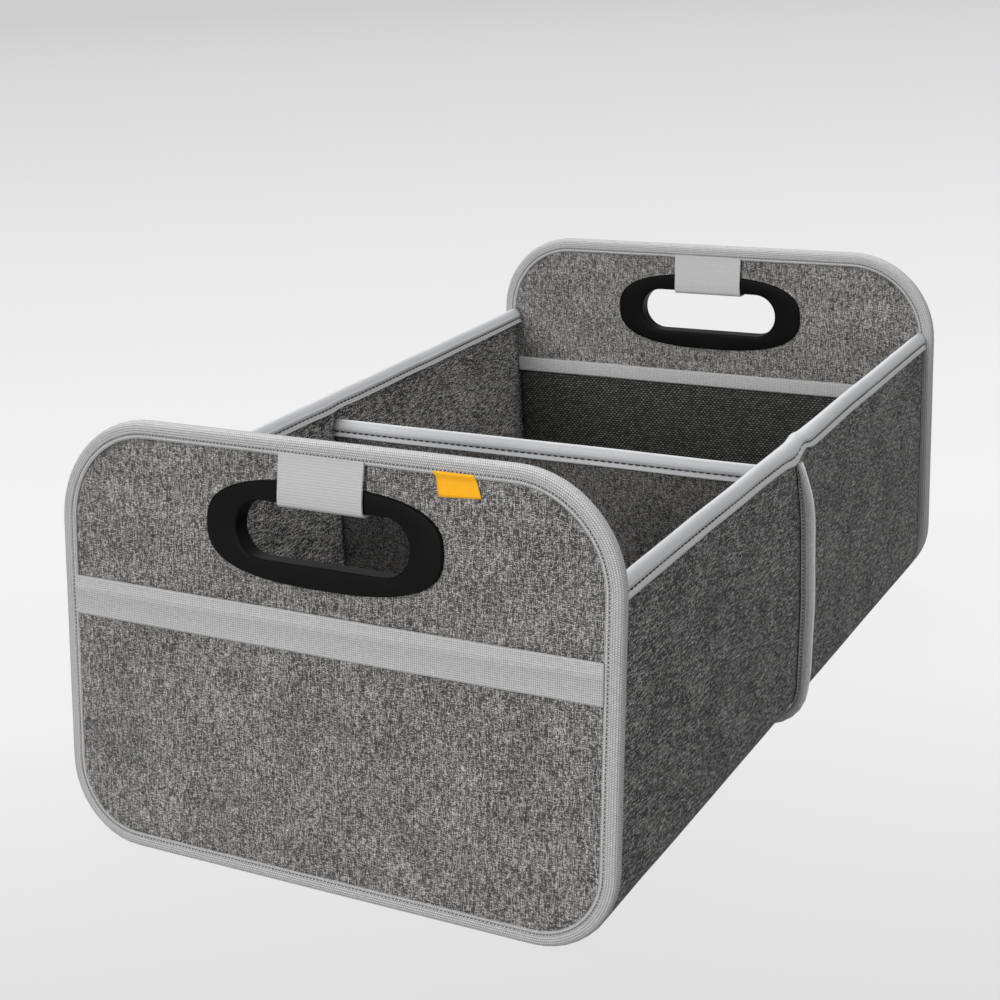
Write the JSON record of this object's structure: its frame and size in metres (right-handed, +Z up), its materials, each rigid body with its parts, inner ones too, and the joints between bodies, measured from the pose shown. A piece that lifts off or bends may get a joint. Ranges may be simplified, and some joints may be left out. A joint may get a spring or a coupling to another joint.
{
  "type": "car boot organizer",
  "caption": "Open cloth car boot organizer with stiff rounded end panels, oval hand grips, padded walls, a divider, flat pockets and lift-up base flaps.",
  "frame": {"origin": "middle of the organizer's length and width, on the plane it stands on", "axes": "+X across the organizer, to the right as seen from the front; +Y along it, from the front panel, which leans, to the rear panel; +Z up"},
  "size_m": [0.3252, 0.5225, 0.229],
  "materials": {
    "melange": "dark grey melange weave, matt",
    "lining": "dark grey melange weave, matt",
    "binding": "light grey woven tape, folded and sewn",
    "webbing": "light grey ribbed webbing",
    "net": "near-black coarse net cloth",
    "grip": "black moulded plastic, matt",
    "board": "plain polypropylene board",
    "foam": "thin closed-cell foam sheet",
    "tag": "bare yellow woven tag"
  },
  "bodies": {
    "root": {"divider_binding": "binding", "divider_board": "board", "divider_front_cloth": "lining", "divider_rear_cloth": "lining", "front_binding": "binding", "front_board": "board", "front_foam": "foam", "front_grip_inner": "grip", "front_grip_outer": "grip", "front_grip_tab": "webbing", "front_inner_cloth": "melange", "front_lining": "lining", "front_net_band": "webbing", "front_net_pocket": "net", "front_outer_band": "webbing", "front_outer_cloth": "melange", "front_outer_pocket": "melange", "front_trough_cloth": "melange", "left_wall_binding": "binding", "rear_binding": "binding", "rear_board": "board", "rear_foam": "foam", "rear_grip_inner": "grip", "rear_grip_outer": "grip", "rear_grip_tab": "webbing", "rear_inner_cloth": "melange", "rear_lining": "lining", "rear_net_band": "webbing", "rear_net_pocket": "net", "rear_outer_band": "webbing", "rear_outer_cloth": "melange", "rear_outer_pocket": "melange", "rear_trough_cloth": "melange", "right_wall_binding": "binding", "seam_fin": "binding", "yellow_tag": "tag"},
    "front_base_flap": {"front_flap_board": "board", "front_flap_sleeve": "lining"},
    "rear_base_flap": {"rear_flap_board": "board", "rear_flap_sleeve": "lining"}
  },
  "joints": [
    {"name": "front_flap_hinge", "type": "hinge", "parent": "root", "child": "front_base_flap", "pos_m": [0, -0.25004, 0.0157], "axis": [1, 0, 0], "range_deg": [0, 81]},
    {"name": "rear_flap_hinge", "type": "hinge", "parent": "root", "child": "rear_base_flap", "pos_m": [0, 0.2494, 0.0157], "axis": [-1, 0, 0], "range_deg": [0, 88]}
  ]
}
